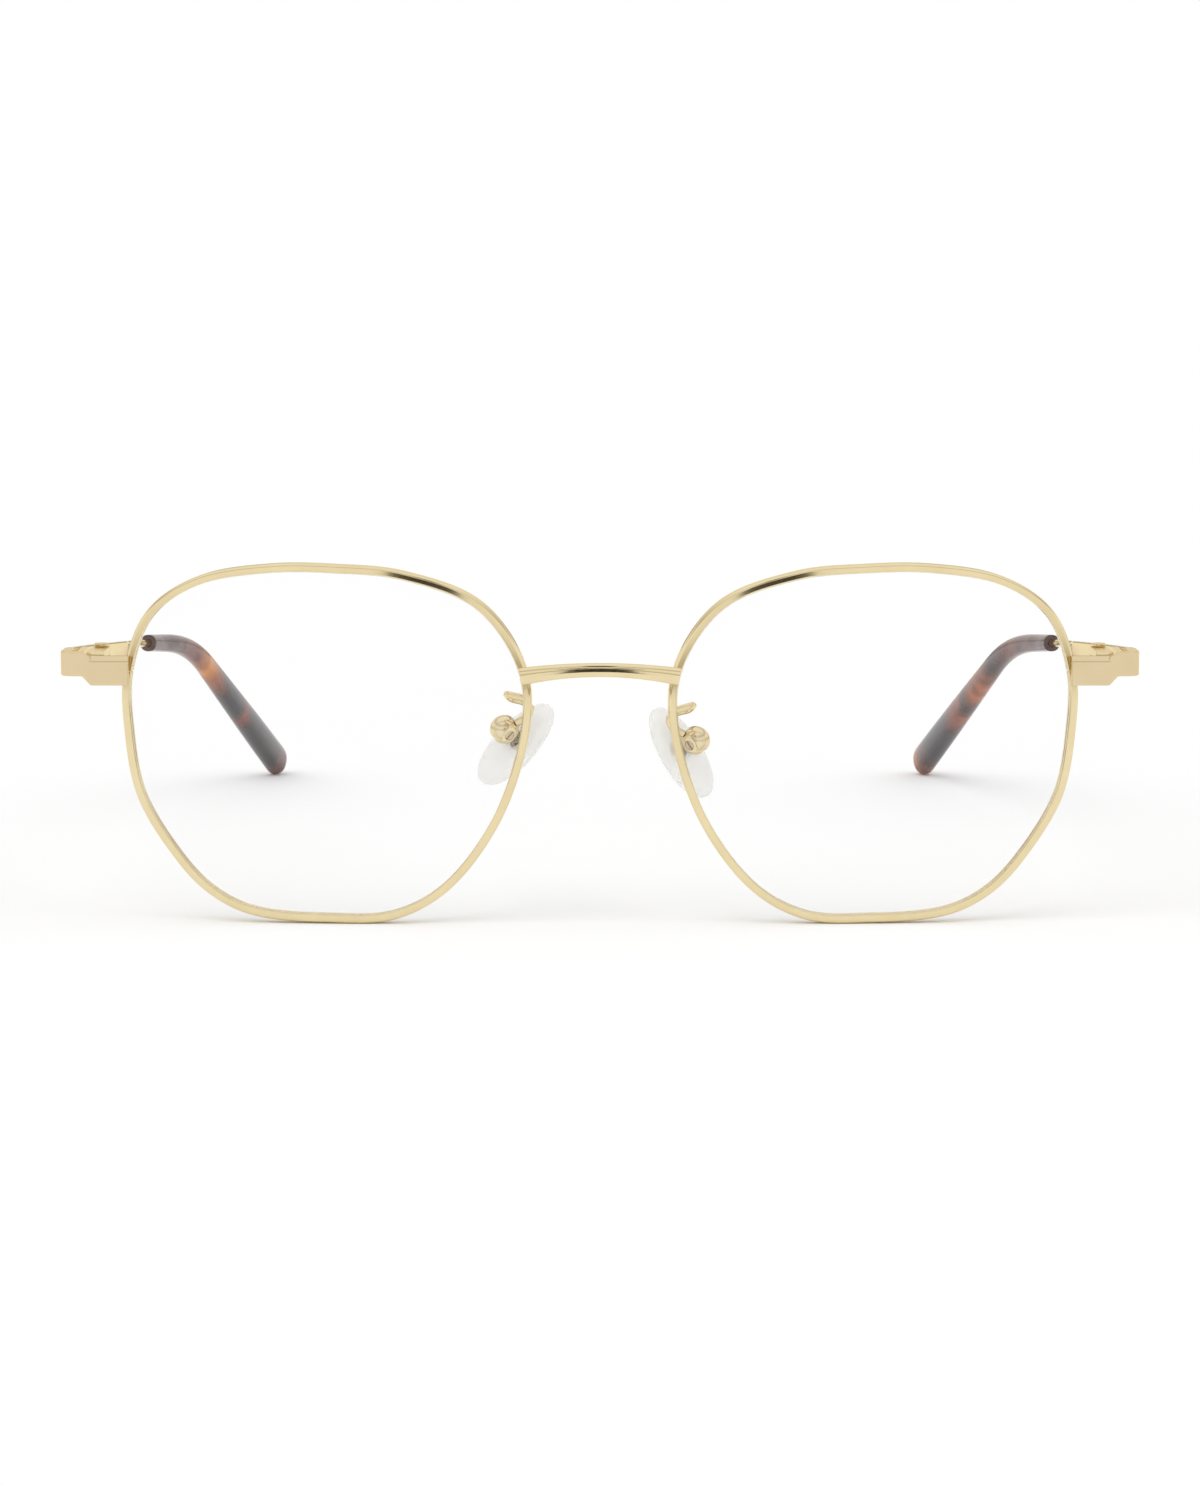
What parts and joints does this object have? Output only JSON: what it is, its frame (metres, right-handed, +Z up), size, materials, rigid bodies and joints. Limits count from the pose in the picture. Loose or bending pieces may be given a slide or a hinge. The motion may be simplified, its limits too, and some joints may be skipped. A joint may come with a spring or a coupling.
{
  "type": "eyeglasses",
  "caption": "Full-rim wire eyeglasses with softly cornered round clear lenses, folding temples with slim rod ends, hooked plastic ear tips and rocking nose pads on bent arms.",
  "frame": {"origin": "on the surface that the open glasses stand on, under the middle of their width and depth", "axes": "+X toward the wearer's left, +Y from the front back along the open temples, +Z up"},
  "size_m": [0.1398, 0.147, 0.047],
  "materials": {
    "gold": "polished pale champagne gold plating on metal",
    "steel": "bright turned screws and stamped pad plates",
    "lens": "clear coated optical plastic",
    "tortoise": "polished mottled red-brown and amber acetate",
    "silicone": "soft translucent milky silicone"
  },
  "bodies": {
    "front": {"bridge": "gold", "right_rim": "gold", "left_rim": "gold", "right_lens": "lens", "left_lens": "lens", "right_upper_lock": "gold", "left_upper_lock": "gold", "right_lower_lock": "gold", "left_lower_lock": "gold", "right_lock_screw": "steel", "left_lock_screw": "steel", "right_end_piece": "gold", "left_end_piece": "gold", "right_front_hinge": "gold", "left_front_hinge": "gold", "right_hinge_screw": "steel", "left_hinge_screw": "steel", "right_pad_arm": "gold", "left_pad_arm": "gold", "right_pad_box": "gold", "left_pad_box": "gold", "right_pad_screw": "steel", "left_pad_screw": "steel"},
    "right_temple": {"right_temple_hinge": "gold", "right_temple_arm": "gold", "right_temple_tip": "tortoise"},
    "left_temple": {"left_temple_hinge": "gold", "left_temple_arm": "gold", "left_temple_tip": "tortoise"},
    "right_pad": {"right_pad_plate": "steel", "right_nose_pad": "silicone"},
    "left_pad": {"left_pad_plate": "steel", "left_nose_pad": "silicone"}
  },
  "joints": [
    {"name": "right_temple_fold", "type": "hinge", "parent": "front", "child": "right_temple", "pos_m": [-0.0654, -0.06269, 0.03388], "axis": [0, 0, -1], "range_deg": [0, 78]},
    {"name": "left_temple_fold", "type": "hinge", "parent": "front", "child": "left_temple", "pos_m": [0.0654, -0.06269, 0.03388], "axis": [0, 0, 1], "range_deg": [0, 85]},
    {"name": "right_pad_rock", "type": "hinge", "parent": "front", "child": "right_pad", "pos_m": [-0.0125, -0.06537, 0.02473], "axis": [-0.4503, 0.788, 0.4199], "range_deg": [-12, 12]},
    {"name": "left_pad_rock", "type": "hinge", "parent": "front", "child": "left_pad", "pos_m": [0.0125, -0.06537, 0.02328], "axis": [0.5221, 0.788, 0.3263], "range_deg": [-12, 12]}
  ]
}
